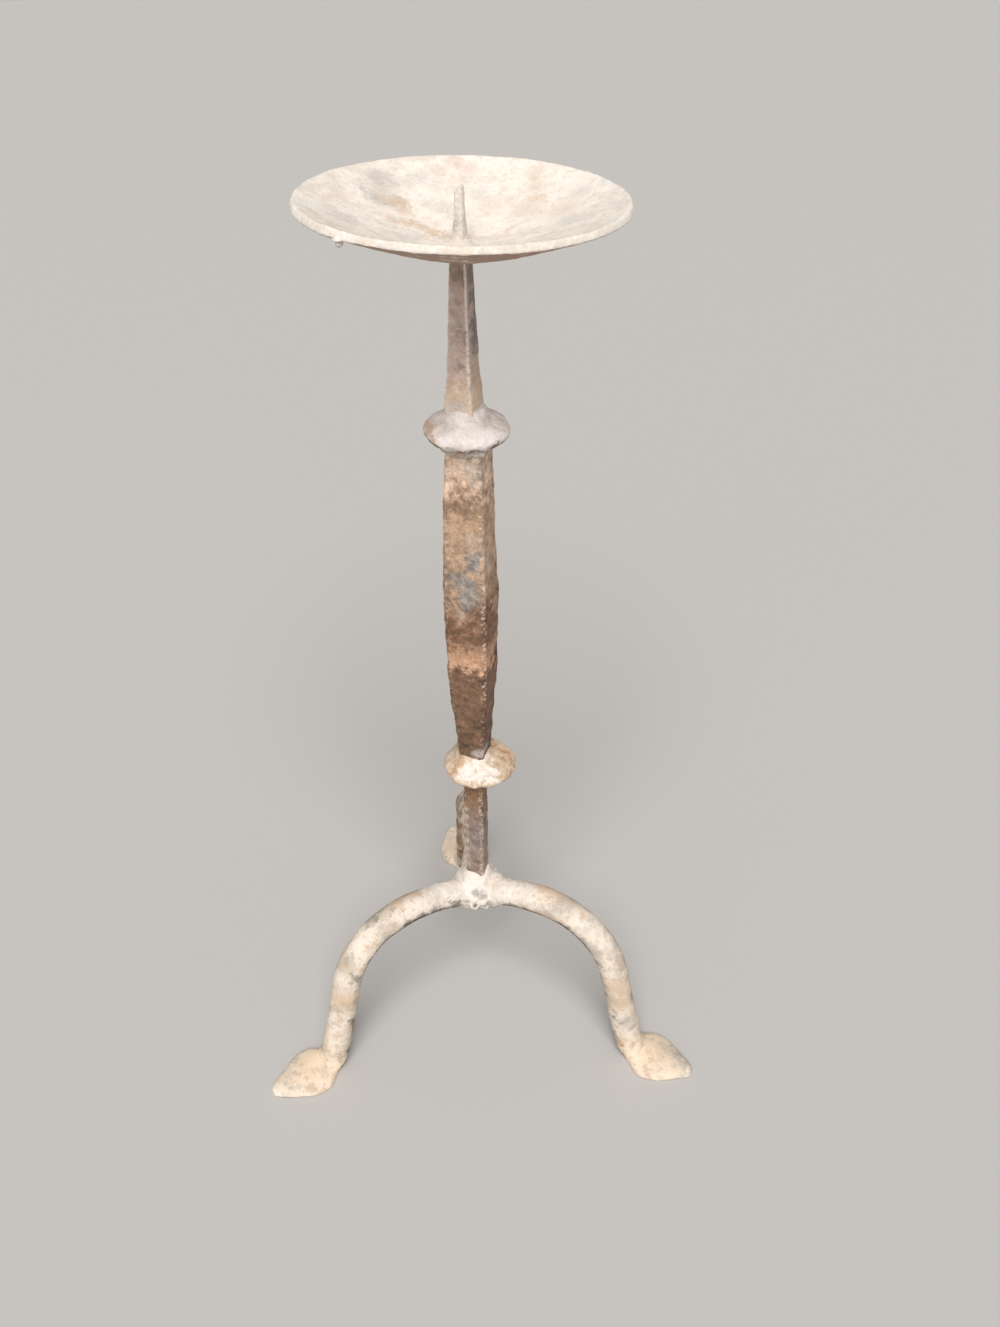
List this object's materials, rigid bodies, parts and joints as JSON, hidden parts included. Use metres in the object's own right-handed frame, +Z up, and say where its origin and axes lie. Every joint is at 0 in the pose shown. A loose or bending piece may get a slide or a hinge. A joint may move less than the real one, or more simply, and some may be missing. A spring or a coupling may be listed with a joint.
{
  "type": "pricket candlestick",
  "caption": "Forged iron pricket candlestick: dished drip pan with a spike, on a square stem with bead knops, over arched round legs with leaf-shaped feet.",
  "frame": {"origin": "middle of the object's footprint, at floor level", "axes": "+Z up along the stem, -Y towards the gap between the two front legs, +X towards the right leg"},
  "size_m": [0.1964, 0.1714, 0.3839],
  "materials": {
    "limewashed_iron": "worn matt limewash over forged iron",
    "rusty_iron": "forged, rusty brown with worn pale patches",
    "weld_metal": "rough lumps under worn limewash"
  },
  "bodies": {
    "root": {"drip_pan": "limewashed_iron", "pan_weld": "weld_metal", "pricket_stem": "rusty_iron", "upper_knop": "limewashed_iron", "upper_knop_weld": "weld_metal", "shaft": "rusty_iron", "lower_knop": "limewashed_iron", "hub_weld": "weld_metal", "left_leg": "limewashed_iron", "right_leg": "limewashed_iron", "back_leg": "limewashed_iron"}
  },
  "joints": []
}
